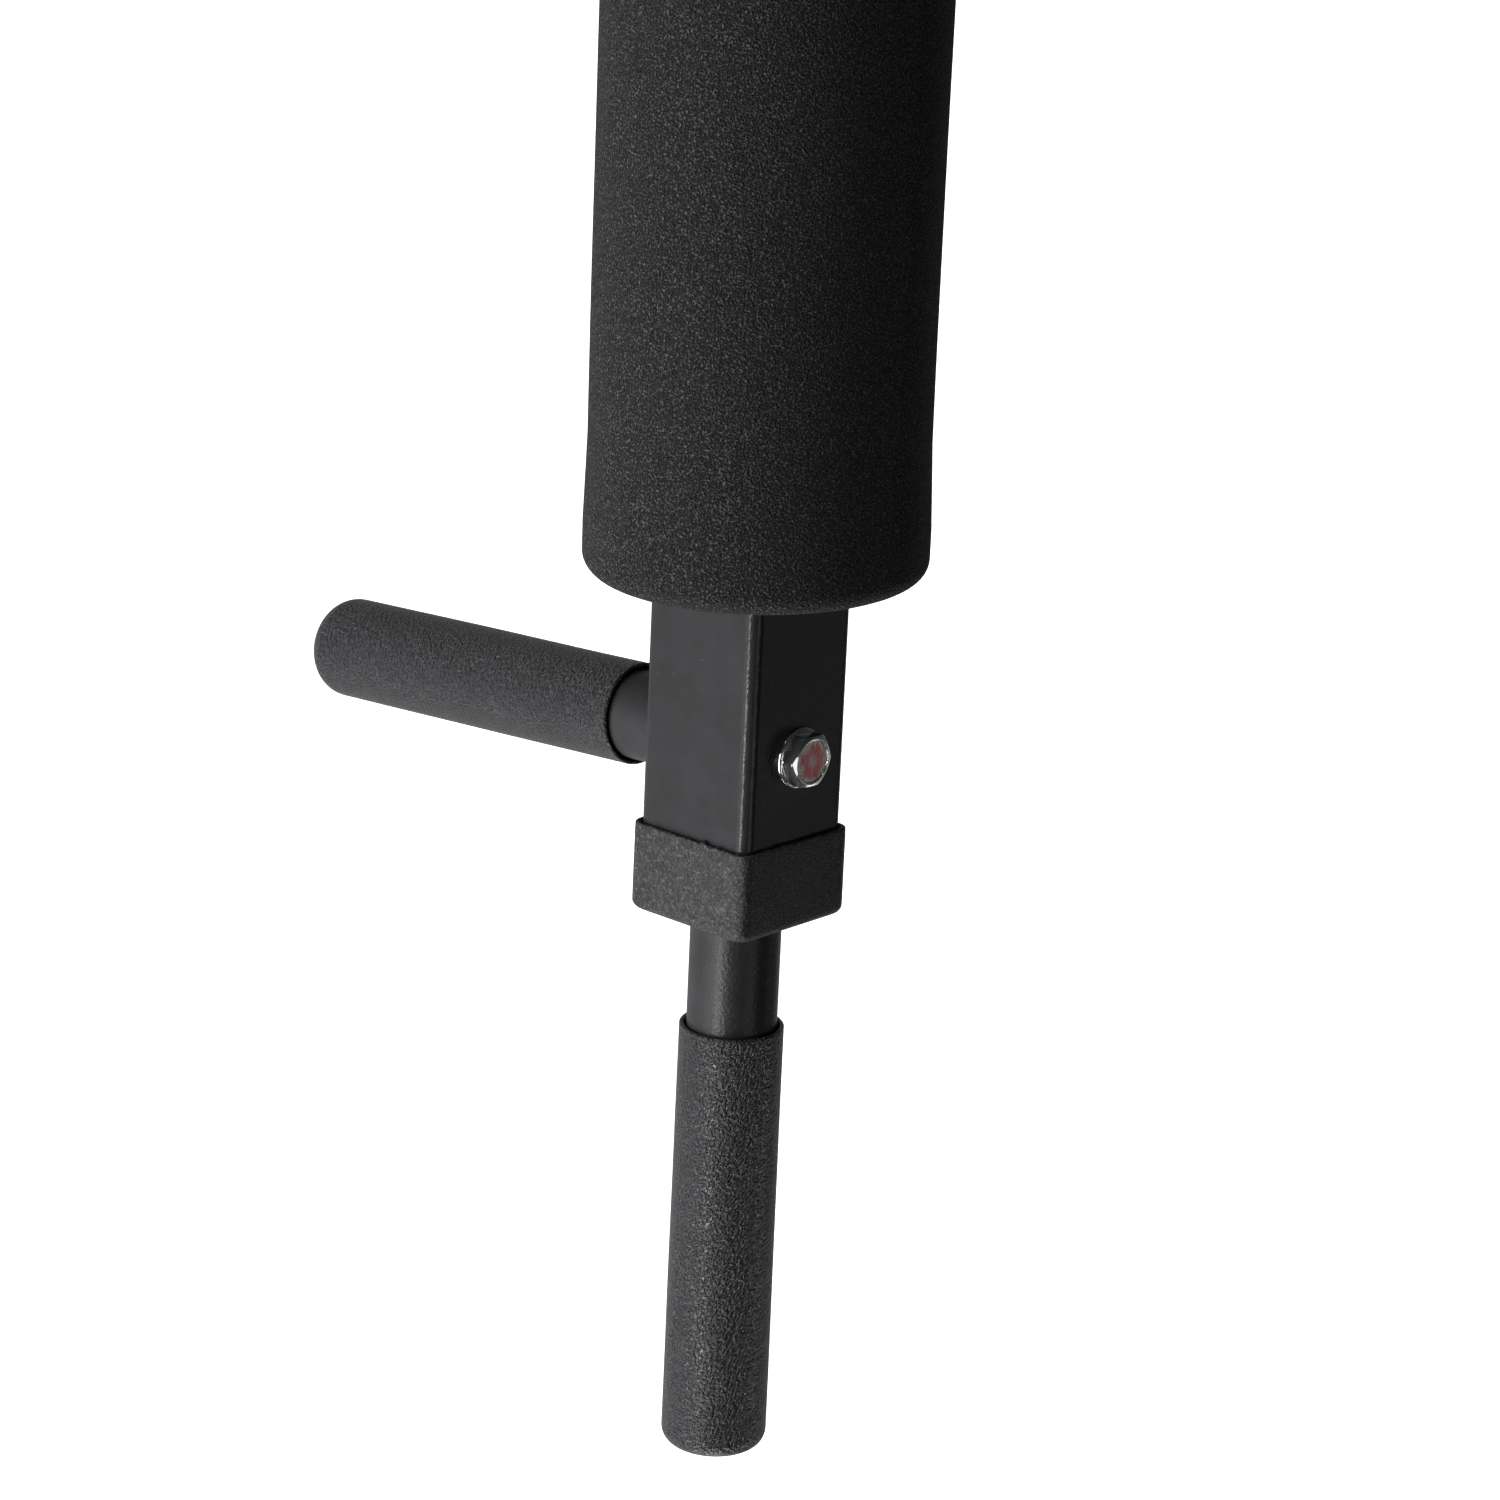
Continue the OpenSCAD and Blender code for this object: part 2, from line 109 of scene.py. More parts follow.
def ring_mesh(name, rings, close_start=False, close_end=False, closed_loop=False):
    """A skin over rings of points that all have the same count."""
    count = len(rings[0])
    verts = [p for ring in rings for p in ring]
    faces = []
    pairs = list(zip(range(len(rings) - 1), range(1, len(rings))))
    if closed_loop:
        pairs.append((len(rings) - 1, 0))
    for low, high in pairs:
        for i in range(count):
            j = (i + 1) % count
            faces.append((low * count + i, low * count + j, high * count + j, high * count + i))
    if close_start:
        faces.append(tuple(range(count)))
    if close_end:
        faces.append(tuple((len(rings) - 1) * count + i for i in range(count)))
    return add_mesh(name, verts, faces)


def arc(centre, radius, start, end, steps):
    """Points on an arc in a half profile of (radius, height), angles in degrees."""
    points = []
    for k in range(steps + 1):
        angle = math.radians(start + (end - start) * k / steps)
        points.append((centre[0] + radius * math.cos(angle), centre[1] + radius * math.sin(angle)))
    return points


def line(start, end, steps):
    """Points after start up to end, evenly spaced."""
    return [
        (start[0] + (end[0] - start[0]) * k / steps, start[1] + (end[1] - start[1]) * k / steps)
        for k in range(1, steps + 1)
    ]


# ---------- material helpers ----------

class Nodes:
    """Short names for building one material's node tree."""

    def __init__(self, name):
        self.material = bpy.data.materials.new(name)
        self.material.use_nodes = True
        self.tree = self.material.node_tree
        self.shader = self.tree.nodes["Principled BSDF"]
        self.place = self.add("ShaderNodeTexCoord").outputs["Object"]

    def add(self, kind, inputs=None, **settings):
        node = self.tree.nodes.new(kind)
        for key, value in settings.items():
            setattr(node, key, value)
        for key, value in (inputs or {}).items():
            self.put(node, key, value)
        return node

    def put(self, node, key, value):
        if isinstance(value, bpy.types.NodeSocket):
            self.tree.links.new(value, node.inputs[key])
        else:
            node.inputs[key].default_value = value

    def set(self, **values):
        for key, value in values.items():
            self.put(self.shader, key.replace("_", " "), value)

    def noise(self, scale, detail=2.0, roughness=0.5, place=None):
        node = self.add(
            "ShaderNodeTexNoise",
            {"Vector": place or self.place, "Scale": scale, "Detail": detail, "Roughness": roughness},
        )
        return node.outputs["Fac"]

    def cells(self, scale, place=None):
        """Distance to the middle of the nearest cell."""
        node = self.add("ShaderNodeTexVoronoi", {"Vector": place or self.place, "Scale": scale})
        return node.outputs["Distance"]

    def stretch(self, scale):
        return self.add("ShaderNodeMapping", {"Vector": self.place, "Scale": scale}).outputs["Vector"]

    def strokes(self, direction, share):
        """Places squeezed to a share of their length along a direction, which draws a pattern out along it."""
        direction = Vector(direction).normalized()
        along = self.add("ShaderNodeVectorMath", {0: self.place, 1: direction}, operation="DOT_PRODUCT")
        shift = self.add("ShaderNodeVectorMath", {0: direction}, operation="SCALE")
        less = self.math("MULTIPLY", along.outputs["Value"], share - 1)
        self.tree.links.new(less, shift.inputs["Scale"])
        moved = self.add("ShaderNodeVectorMath", {0: self.place, 1: shift.outputs["Vector"]}, operation="ADD")
        return moved.outputs["Vector"]

    def ramp(self, value, stops):
        """stops are (position, colour or grey)."""
        node = self.add("ShaderNodeValToRGB", {"Fac": value})
        elements = node.color_ramp.elements
        while len(elements) < len(stops):
            elements.new(0.5)
        for element, (position, colour) in zip(elements, stops):
            element.position = position
            element.color = (*colour, 1) if hasattr(colour, "__len__") else (colour, colour, colour, 1)
        return node.outputs["Color"]

    def math(self, operation, a, b=0.0, c=0.0):
        node = self.add("ShaderNodeMath", {0: a, 1: b, 2: c}, operation=operation)
        return node.outputs["Value"]

    def mix(self, factor, a, b):
        node = self.add("ShaderNodeMix", data_type="RGBA")
        for key, value in ((0, factor), (6, a), (7, b)):
            if isinstance(value, bpy.types.NodeSocket):
                self.tree.links.new(value, node.inputs[key])
            else:
                node.inputs[key].default_value = (*value, 1) if hasattr(value, "__len__") else value
        return node.outputs[2]

    def tint(self, by, strength):
        """Multiplies the linked base colour by a grey value."""
        node = self.add("ShaderNodeMix", data_type="RGBA", blend_type="MULTIPLY")
        node.inputs[0].default_value = strength
        self.tree.links.new(self.shader.inputs["Base Color"].links[0].from_socket, node.inputs[6])
        self.tree.links.new(by, node.inputs[7])
        self.set(Base_Color=node.outputs[2])

    def bump(self, height, distance, strength=1.0, normal=None):
        inputs = {"Height": height, "Distance": distance, "Strength": strength}
        if normal is not None:
            inputs["Normal"] = normal
        return self.add("ShaderNodeBump", inputs).outputs["Normal"]


# ---------- materials ----------

def powder_coat(name, peel=0.00010, roughness=0.15):
    """Satin black powder coat: orange peel, faint clouding and a few pale specks."""
    m = Nodes(name)
    cloud = m.noise(90, 3, 0.6)
    specks = m.math("MULTIPLY", m.ramp(m.cells(330), [(0.0, 1.0), (0.10, 0.0)]),
                    m.ramp(m.noise(60, 1), [(0.58, 0.0), (0.68, 1.0)]))
    base = m.ramp(cloud, [(0.3, (0.0290, 0.0290, 0.0305)), (0.7, (0.0345, 0.0345, 0.0370))])
    m.set(Base_Color=m.mix(m.math("MULTIPLY", specks, 0.16), base, (0.5, 0.5, 0.5)))
    m.set(Roughness=m.math("MULTIPLY_ADD", cloud, 0.08, roughness), Specular_IOR_Level=0.26)
    fine = m.bump(m.noise(1900, 1), 0.00004, 1.0)
    m.set(Normal=m.bump(m.noise(1050, 2, 0.45), peel, 1.0, fine))
    return m.material


def foam_material():
    """Fine-celled black foam rubber with a grainy skin of open cells."""
    m = Nodes("foam_rubber")
    grain = m.noise(1750, 1, 0.6)
    glints = m.cells(900)
    cloud = m.noise(45, 3, 0.6)
    # The brightest specks of this grain colour are painted glints off the open cells; the darker cells are the
    # foam's own grain.
    cell_grain_and_painted_glints = m.ramp(grain, [(0.34, 0.0016), (0.50, 0.0075), (0.60, 0.029), (0.71, 0.118)])
    m.set(Base_Color=m.mix(m.math("MULTIPLY", cloud, 0.3), cell_grain_and_painted_glints, (0.010, 0.010, 0.010)))
    m.set(Roughness=0.8, Specular_IOR_Level=0.22, Sheen_Weight=0.03, Sheen_Roughness=0.6)
    pitted = m.bump(m.ramp(glints, [(0.0, 1.0), (0.40, 0.0)]), 0.0005, 0.9)
    m.set(Normal=m.bump(grain, 0.0011, 1.0, pitted))
    return m.material


def grip_material():
    """Soft black PVC with a wrinkled leather grain of short slanted strokes and a slight violet cast."""
    m = Nodes("grip_pvc")
    slanted = m.strokes((0.26, 0.78, -0.57), 0.52)
    wrinkles = m.noise(1480, 1, 0.5, slanted)
    pebbles = m.cells(1100, place=slanted)
    cloud = m.noise(55, 3, 0.6)
    # Base colour lighter on the wrinkle strokes and darker between them: partly the grain's own tone, partly
    # painted glints on the strokes.
    wrinkle_tone_and_painted_glints = m.ramp(wrinkles, [(0.36, 0.60), (0.66, 1.25)])
    base = m.ramp(cloud, [(0.3, (0.0250, 0.0242, 0.0272)), (0.7, (0.0318, 0.0309, 0.0346))])
    m.set(Base_Color=base)
    m.tint(wrinkle_tone_and_painted_glints, 0.9)
    m.set(Roughness=m.math("MULTIPLY_ADD", wrinkles, -0.22, 0.43), Specular_IOR_Level=0.56)
    m.set(Sheen_Weight=0.05, Sheen_Roughness=0.5)
    pebbled = m.bump(m.ramp(pebbles, [(0.0, 1.0), (0.55, 0.0)]), 0.00018, 0.9)
    m.set(Normal=m.bump(m.ramp(wrinkles, [(0.38, 0.0), (0.62, 1.0)]), 0.00058, 1.0, pebbled))
    return m.material


def collar_material():
    """Soft PVC of the collar: matt grey-black, mottled in fine pale clumps that are partly painted light and
    shade of its bumps.
    """
    m = Nodes("collar_pvc")
    clumps_and_painted_bump_shade = m.noise(1250, 2, 0.75)
    mottle = m.noise(190, 3, 0.6)
    m.set(Base_Color=m.ramp(mottle, [(0.30, (0.0350, 0.0350, 0.0357)), (0.72, (0.0495, 0.0495, 0.0508))]))
    # The clumps lift the colour up to 2.7 times: partly the PVC's own mottle, partly painted light and shade
    # of its bumps.
    m.tint(m.ramp(clumps_and_painted_bump_shade, [(0.38, 0.50), (0.55, 0.93), (0.69, 2.7)]), 1.0)
    m.set(Roughness=m.math("MULTIPLY_ADD", mottle, 0.2, 0.30), Specular_IOR_Level=0.26)
    m.set(Normal=m.bump(clumps_and_painted_bump_shade, 0.00060, 1.0, m.bump(mottle, 0.0002, 0.6)))
    return m.material


def zinc_material():
    """Bright zinc plate with faint drawn marks and small dull patches."""
    m = Nodes("zinc_plate")
    cloud = m.noise(420, 3, 0.6)
    m.set(Base_Color=m.ramp(cloud, [(0.3, (0.74, 0.77, 0.80)), (0.7, (0.97, 0.98, 0.98))]))
    m.set(Metallic=0.92, Roughness=m.math("MULTIPLY_ADD", cloud, 0.16, 0.06), Specular_IOR_Level=0.5)
    m.set(Normal=m.bump(m.noise(700, 2), 0.00003, 0.8))
    return m.material


def marking_material():
    """Rough cast zinc of a bolt's face with a worn ring of red marking paint round its middle."""
    m = Nodes("marking_paint")
    streaks = m.noise(620, 3, 0.7, m.stretch((1.0, 0.45, 1.0)))
    from_axis = m.add("ShaderNodeVectorMath", {0: m.place, 1: (0, STATION_Y, ARM_Z)}, operation="SUBTRACT")
    flat = m.add("ShaderNodeVectorMath", {0: from_axis.outputs["Vector"], 1: (0, 1, 1)}, operation="MULTIPLY")
    out = m.add("ShaderNodeVectorMath", {0: flat.outputs["Vector"]}, operation="LENGTH").outputs["Value"]
    place = m.math("MULTIPLY_ADD", m.math("SUBTRACT", streaks, 0.5), 6.0 * MM, out)
    share = m.math("MULTIPLY", place, 1 / (8 * MM))
    painted = m.ramp(share, [(0.10, 0.25), (0.26, 0.95), (0.56, 0.85), (0.66, 0.0)])
    red = m.ramp(streaks, [(0.38, (1.0, 0.16, 0.21)), (0.62, (0.95, 0.45, 0.45))])
    cast = m.ramp(streaks, [(0.40, (0.62, 0.64, 0.60)), (0.62, (0.90, 0.92, 0.87))])
    m.set(Base_Color=m.mix(painted, cast, red))
    m.set(Metallic=m.math("MULTIPLY_ADD", painted, -0.55, 0.80), Roughness=0.27, Specular_IOR_Level=0.7)
    m.set(Normal=m.bump(streaks, 0.0003, 1.0))
    return m.material


def steel_material():
    """Bare turned steel."""
    m = Nodes("bare_steel")
    turned = m.noise(1200, 2, 0.5, m.stretch((0.1, 1.0, 1.0)))
    m.set(Base_Color=m.ramp(turned, [(0.3, (0.30, 0.30, 0.31)), (0.7, (0.45, 0.45, 0.46))]))
    m.set(Metallic=1.0, Roughness=m.math("MULTIPLY_ADD", turned, 0.2, 0.25))
    m.set(Normal=m.bump(turned, 0.00004, 0.5))
    return m.material


def plug_material():
    """Moulded black polypropylene with a fine spark-eroded texture."""
    m = Nodes("plug_plastic")
    grain = m.noise(1700, 3, 0.6)
    m.set(Base_Color=m.ramp(m.noise(120, 3), [(0.3, (0.016, 0.016, 0.017)), (0.7, (0.024, 0.024, 0.025))]))
    m.set(Roughness=m.math("MULTIPLY_ADD", grain, 0.15, 0.45))
    m.set(Normal=m.bump(grain, 0.00005, 0.6))
    return m.material


def vinyl_material():
    """Black upholstery vinyl with a pebbled leather grain."""
    m = Nodes("pad_vinyl")
    pebbles = m.cells(520)
    creases = m.noise(240, 3, 0.6)
    m.set(Base_Color=m.ramp(m.noise(30, 3), [(0.3, (0.016, 0.016, 0.0165)), (0.7, (0.024, 0.024, 0.0245))]))
    m.set(Roughness=m.math("MULTIPLY_ADD", creases, 0.2, 0.36), Specular_IOR_Level=0.45)
    grain = m.bump(m.ramp(pebbles, [(0.0, 1.0), (0.6, 0.0)]), 0.00022, 0.6)
    m.set(Normal=m.bump(creases, 0.00025, 0.5, grain))
    return m.material


def plywood_material():
    """Birch plywood: long grain on the faces and ply lines through its thickness."""
    m = Nodes("plywood")
    long_grain = m.noise(26, 5, 0.65, m.stretch((6.0, 1.0, 0.7)))
    layers = m.add(
        "ShaderNodeTexWave",
        {"Vector": m.stretch((0.0, 1.0, 0.0)), "Scale": 70.0, "Distortion": 0.0},
        bands_direction="Y",
    ).outputs["Fac"]
    veneer = m.ramp(long_grain, [(0.3, (0.50, 0.35, 0.21)), (0.7, (0.68, 0.52, 0.34))])
    m.set(Base_Color=m.mix(m.math("MULTIPLY", m.ramp(layers, [(0.45, 0.0), (0.55, 1.0)]), 0.35), veneer,
                           (0.22, 0.13, 0.07)))
    m.set(Roughness=m.math("MULTIPLY_ADD", long_grain, 0.2, 0.5))
    m.set(Normal=m.bump(long_grain, 0.0002, 0.4))
    return m.material


POWDER = powder_coat("powder_coat")
POWDER_ROUND = powder_coat("powder_coat_round", peel=0.00013, roughness=0.30)
FOAM = foam_material()
GRIP = grip_material()
COLLAR = collar_material()
ZINC = zinc_material()
MARKING = marking_material()
STEEL = steel_material()
PLUG = plug_material()
VINYL = vinyl_material()
PLYWOOD = plywood_material()
SLOT_MATERIALS = {
    "powder_coat": POWDER, "zinc": ZINC, "bare_steel": STEEL, "foam": FOAM, "grip_pvc": GRIP,
    "collar_pvc": COLLAR, "plug_plastic": PLUG, "pad_vinyl": VINYL, "plywood": PLYWOOD,
}

EASED = ("wall_bracket", "arm_base_plate", "arm_end_plate", "pad_board", "hang_pins")
EASED_EDGE = 0.7 * MM
EASED_ANGLE = math.radians(40)


def dress_cad_nodes():
    """Gives every CAD node the procedural material of its slot, and eases the edges of the plates and pins."""
    for part in frame["record"]["subparts"]:
        node = frame["nodes"][part["node"]]
        material = SLOT_MATERIALS[part["material_slot"]]
        if "handle_tube" in part["node"]:
            material = POWDER_ROUND
        node.data.materials.clear()
        node.data.materials.append(material)
        if part["node"].startswith(EASED):
            bevel = node.modifiers.new("edges", "BEVEL")
            bevel.width = EASED_EDGE
            bevel.segments = 2
            bevel.limit_method = "ANGLE"
            bevel.angle_limit = EASED_ANGLE


# ---------- foam sleeves ----------

FOAM_RADIUS = 46.3 * MM
FOAM_SWELL = 0.8 * MM
FOAM_ROUND = 6 * MM
FOAM_LIP = 8 * MM
FOAM_TAPER_END = 32 * MM
FOAM_BORE_SHARE = 0.62
FOAM_LEAN = 0.8 * MM
FOAM_LEAN_WAY = Vector((0.74, 0, -0.67))
FOAM_LEAN_REACH = 70 * MM
FOAM_GROWTH = 0.3 * MM
FOAM_WAVE = 0.35 * MM
FOAM_BORE_GAP = 0.1 * MM
FOAM_SEGMENTS = 192
TUBE_CORNER = 3.6 * MM


def square_point(angle, half, corner, height):
    """The point of a round-cornered square at an angle about its centre."""
    c, s = math.cos(angle), math.sin(angle)
    reach = half / max(abs(c), abs(s))
    flat = half - corner
    if abs(c * reach) > flat and abs(s * reach) > flat:
        b = flat * (abs(c) + abs(s))
        reach = b + math.sqrt(max(b * b - 2 * flat * flat + corner * corner, 0.0))
    return Vector((c * reach, height, s * reach))


def foam_profile(length):
    """Half outline of a sleeve from its tip end to its wall end, swollen beside both ends."""
    swollen = FOAM_RADIUS + FOAM_SWELL
    inner_edge = FOAM_BORE_SHARE * swollen
    near, far = FOAM_ROUND, length - FOAM_ROUND
    outline = [(inner_edge, 0.0)]
    outline += arc((swollen - FOAM_ROUND, near), FOAM_ROUND, -90, 0, 10)
    outline += line(outline[-1], (swollen, near + FOAM_LIP), 4)
    outline += line(outline[-1], (FOAM_RADIUS, near + FOAM_TAPER_END), 10)
    outline += line(outline[-1], (FOAM_RADIUS, far - FOAM_TAPER_END), 60)
    outline += line(outline[-1], (swollen, far - FOAM_LIP), 10)
    outline += line(outline[-1], (swollen, far), 4)
    outline += arc((swollen - FOAM_ROUND, far), FOAM_ROUND, 0, 90, 10)
    outline.append((inner_edge, length))
    return outline


def foam_sleeve(side):
    """Closed sleeve round the square tube, shifted and tilted a little near its tip end."""
    node = "foam_sleeve_" + side
    low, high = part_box(node)
    start, length = STATION_Y - low.y, high.y - low.y
    angles = [2 * math.pi * k / FOAM_SEGMENTS for k in range(FOAM_SEGMENTS)]
    rings = []
    for radius, height in foam_profile(length):
        near_tip = math.exp(-((height / FOAM_LEAN_REACH) ** 2))
        ring = []
        for angle in angles:
            out = Vector((math.cos(angle), 0, math.sin(angle)))
            wave = noise.noise(Vector((out.x * 1.3, height * 14, out.z * 1.3 + SIDES[side])))
            grown = radius + FOAM_WAVE * wave + FOAM_GROWTH * (1 - near_tip)
            place = out * grown + Vector((0, start - height, 0))
            place += FOAM_LEAN_WAY * FOAM_LEAN * near_tip
            place.y -= FOAM_LEAN * out.dot(FOAM_LEAN_WAY) * near_tip
            ring.append(place)
        rings.append(ring)
    for height in (length, 0.0):
        rings.append([
            square_point(a, HALF_TUBE + FOAM_BORE_GAP, TUBE_CORNER, start - height) for a in angles
        ])
    foam = ring_mesh("foam_" + side, rings, closed_loop=True)
    finish_piece(foam, arm_frame(side), FOAM, nodes=[node])


# ---------- grips ----------

GRIP_SEGMENTS = 192
HANDLE_RADIUS = 12.7 * MM
SEAM_HALF = 0.35 * MM
SEAM_DEPTH = 0.16 * MM
SEAM_WANDER = 0.25 * MM
GRIP_LIP = 0.5 * MM
GRIP_FLARE = 0.75 * MM
GRIP_GAP = 0.05 * MM
GRIP_SWELL = 0.10 * MM
END_GRIP_MOUTH = 14.66 * MM
END_GRIP_END = 14.99 * MM
END_GRIP_FILLET = 5 * MM
END_SEAM = -105
SIDE_GRIP_RADIUS = 14.41 * MM
SIDE_GRIP_GROWTH = 0.02 * MM
SIDE_GRIP_LENGTH = 122.8 * MM
SIDE_GRIP_FILLET = 7.5 * MM
SIDE_GRIP_START = 19.4 * MM
SIDE_SEAM = 200
SIDE_CANT = 3.65
SIDE_OFFSET = 0.7 * MM


def grip_angles(seam, radius):
    """Even angles, with closer ones across the mould seam."""
    angles = [2 * math.pi * k / GRIP_SEGMENTS for k in range(GRIP_SEGMENTS)]
    for step in (-3, -2, -1, 0, 1, 2, 3):
        angles.append((seam + step * 0.5 * SEAM_HALF / radius) % (2 * math.pi))
    return sorted(angles)


def grip(name, matrix, nodes, mouth, end, length, fillet, seam):
    """A closed sleeve along +Z from its mouth, with a thin lip, a mould seam and a rounded end."""
    outline = [(HANDLE_RADIUS + GRIP_GAP, 14 * MM), (HANDLE_RADIUS + GRIP_GAP, 4 * MM)]
    outline += line(outline[-1], (HANDLE_RADIUS + GRIP_FLARE, 0.5 * MM), 4)
    outline += line(outline[-1], (HANDLE_RADIUS + GRIP_FLARE + 0.1 * MM, 0.0), 1)
    outline += arc((mouth - GRIP_LIP, GRIP_LIP), GRIP_LIP, -90, 0, 5)
    outline += line(outline[-1], (end, length - fillet), 60)
    outline += arc((end - fillet, length - fillet), fillet, 0, 90, 14)[1:]
    outline += line(outline[-1], (1.0 * MM, length), 5)
    angles = grip_angles(math.radians(seam), end)
    rings = []
    for radius, height in outline:
        outside = radius > mouth - 0.2 * MM and height > 2 * MM
        wander = SEAM_WANDER * noise.noise(Vector((height * 60, seam, 0)))
        ring = []
        for angle in angles:
            dip = 0.0
            if outside:
                off = (angle - math.radians(seam) + math.pi) % (2 * math.pi) - math.pi
                dip += SEAM_DEPTH * math.exp(-(((off * radius - wander) / (0.5 * SEAM_HALF)) ** 2))
                swell = noise.noise(Vector((math.cos(angle), height * 25, math.sin(angle) + seam)))
                dip -= GRIP_SWELL * swell
            r = radius - dip
            ring.append(Vector((r * math.cos(angle), r * math.sin(angle), height)))
        rings.append(ring)
    piece = ring_mesh(name, rings, close_end=True)
    return finish_piece(piece, matrix, GRIP, nodes=nodes)


def end_grip(side):
    node = "end_grip_" + side
    low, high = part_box(node)
    along = Matrix.Translation((0, STATION_Y - high.y, 0)) @ Matrix.Rotation(math.radians(-90), 4, "X")
    grip("grip_end_" + side, arm_frame(side) @ along, [node], END_GRIP_MOUTH, END_GRIP_END,
         high.y - low.y, END_GRIP_FILLET, seam=END_SEAM)


def side_grip(side):
    node = "side_grip_" + side
    reach = Vector((-HALF_TUBE, SIDE_OFFSET, 0))
    away = Matrix.Translation(reach) @ Matrix.Rotation(math.radians(-SIDE_CANT), 4, "Z")
    along = away @ Matrix.Rotation(math.radians(-90), 4, "Y") @ Matrix.Translation((0, 0, SIDE_GRIP_START))
    grip("grip_side_" + side, arm_frame(side) @ along, [node],
         SIDE_GRIP_RADIUS, SIDE_GRIP_RADIUS + SIDE_GRIP_GROWTH,
         SIDE_GRIP_LENGTH, SIDE_GRIP_FILLET, seam=SIDE_SEAM)


# ---------- collars ----------

COLLAR_SEGMENTS = 480
COLLAR_CORNER = 3.6 * MM
COLLAR_EDGE = 2.6 * MM
COLLAR_RAG = 0.8 * MM
COLLAR_STEPS = 14


def collar(side):
    """Soft square cap with a trimmed, ragged upper edge and a round hole for the handle tube."""
    node = "collar_" + side
    low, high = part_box(node)
    start, end = STATION_Y - high.y, STATION_Y - low.y
    half = (high.x - low.x) / 2 - 0.1 * MM
    angles = [2 * math.pi * k / COLLAR_SEGMENTS for k in range(COLLAR_SEGMENTS)]
    inner = HALF_TUBE + 0.1 * MM

    def square_ring(size, corner, height, ragged=0.0):
        ring = []
        for angle in angles:
            p = square_point(angle, size, corner, height)
            tag = noise.noise(Vector((p.x * 1100, 3.0, p.z * 1100)))
            burr = max(noise.noise(Vector((p.x * 420, 9.0, p.z * 420))) - 0.22, 0.0)
            trimmed = 0.25 + 0.75 * min(max(p.z / size, 0.0), 1.0)
            p.y += ragged * trimmed * (0.5 * tag - 3.0 * burr)
            bulge = noise.noise(Vector((p.x * 55, p.y * 55, p.z * 55 + SIDES[side])))
            grow = 1 + 0.006 * bulge
            ring.append(Vector((p.x * grow, p.y, p.z * grow)) if size > inner + 1 * MM else p)
        return ring

    rings = [
        square_ring(inner, TUBE_CORNER, start + 12 * MM),
        square_ring(inner, TUBE_CORNER, start + 3 * MM),
        square_ring(inner + 0.45 * MM, TUBE_CORNER, start + 0.6 * MM, COLLAR_RAG),
        square_ring(inner + 0.65 * MM, TUBE_CORNER, start + 0.15 * MM, COLLAR_RAG),
        square_ring(half - 0.35 * MM, COLLAR_CORNER, start + 0.10 * MM, COLLAR_RAG),
        square_ring(half - 0.08 * MM, COLLAR_CORNER, start + 0.35 * MM, 0.5 * COLLAR_RAG),
        square_ring(half - 0.05 * MM, COLLAR_CORNER, start + 0.9 * MM),
    ]
    for step in range(1, COLLAR_STEPS + 1):
        height = start + 0.9 * MM + (end - start - 3.5 * MM) * step / COLLAR_STEPS
        rings.append(square_ring(half, COLLAR_CORNER, height))
    for inset, height in arc((0, 0), COLLAR_EDGE, 0, 90, 7)[1:]:
        rings.append(square_ring(half - COLLAR_EDGE + inset, COLLAR_CORNER, end - COLLAR_EDGE + height))
    hole = HANDLE_RADIUS + 0.15 * MM
    for share in (0.35, 0.7):
        size = (half - COLLAR_EDGE) * (1 - share) + hole * share
        rings.append([
            square_point(a, size, COLLAR_CORNER + (size - COLLAR_CORNER) * share, end) for a in angles
        ])
    rings.append([Vector((hole * math.cos(a), end, hole * math.sin(a))) for a in angles])
    rings.append([Vector((hole * math.cos(a), end - 1.4 * MM, hole * math.sin(a))) for a in angles])
    piece = ring_mesh(node.replace("collar", "collar_cap"), rings)
    finish_piece(piece, arm_frame(side), COLLAR, nodes=[node])


# ---------- flange bolts ----------

BOLT_SEGMENTS = 144
BOLT_FLAT = 7.0 * MM
BOLT_CORNER = BOLT_FLAT / math.cos(math.radians(30))
FLANGE_RADIUS = 8.6 * MM
BOLT_TURN = math.radians(-4)
HEAD_HEIGHT = 5.4 * MM
FACE_RADIUS = 6.5 * MM
CHAMFER_SLOPE = 0.52
DISH_RADIUS = 5.9 * MM
DISH_DEPTH = 0.35 * MM
FLANGE_EDGE = 0.85 * MM
BOLT_ROOT = 1.25 * MM
BOLT_FILLET = 0.6 * MM


